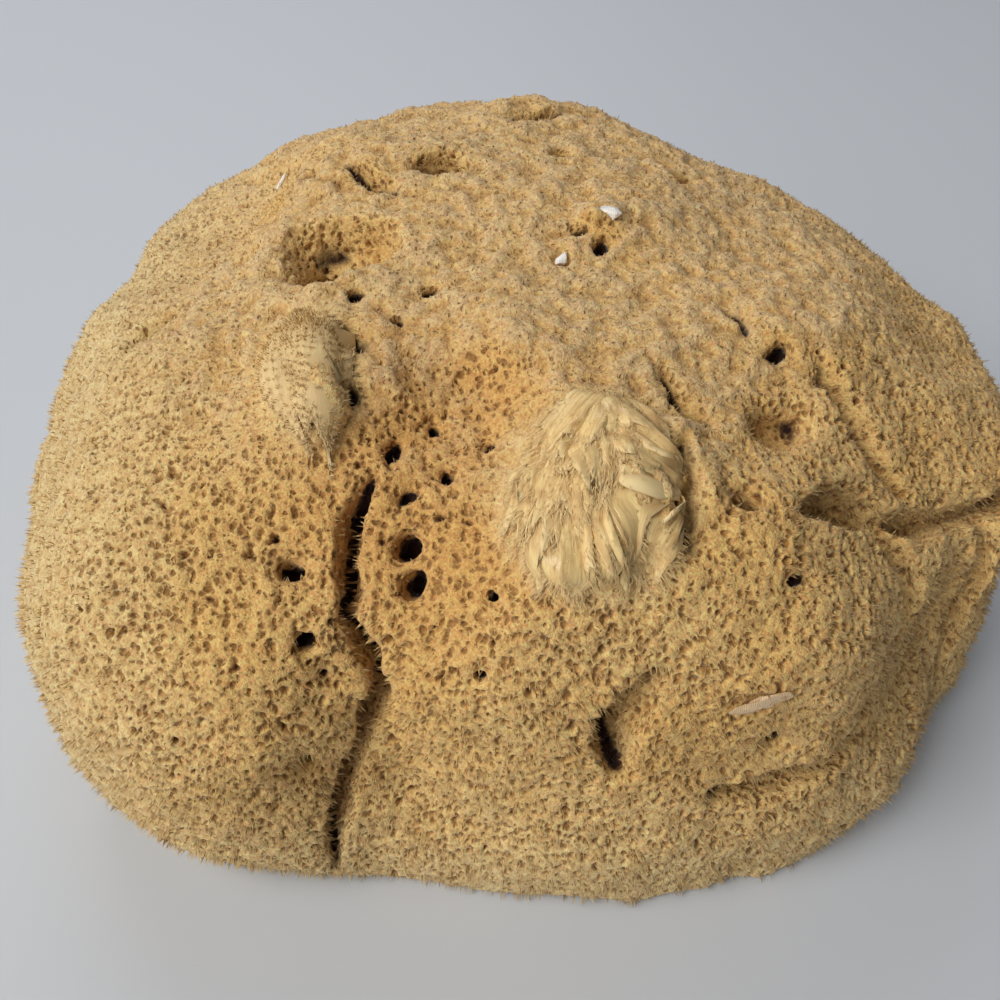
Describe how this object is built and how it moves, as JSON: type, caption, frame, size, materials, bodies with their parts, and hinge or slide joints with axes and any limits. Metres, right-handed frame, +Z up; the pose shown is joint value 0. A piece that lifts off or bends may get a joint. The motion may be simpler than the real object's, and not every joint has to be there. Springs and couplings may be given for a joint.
{
  "type": "sea sponge",
  "caption": "Large natural bath sponge: a low lumpy dome with pits, clefts, a torn tuft and a hollow crown, cut flat underneath so that it rests by itself.",
  "frame": {"origin": "on the flat underside, under the middle of the sponge's box", "axes": "+Z up, +X along the longest side, -Y toward the broad front with the long cleft and the torn tuft"},
  "size_m": [0.2218, 0.189, 0.1119],
  "materials": {
    "sponge": "matt, porous, dry fibre",
    "shell": "glossy broken shell",
    "shell_amber": "glossy thin shell flake"
  },
  "bodies": {
    "root": {"sponge": "sponge", "shell_chip_crown": "shell", "shell_grain_crown": "shell", "spine_sliver": "shell", "shell_flake_front": "shell_amber"}
  },
  "joints": []
}
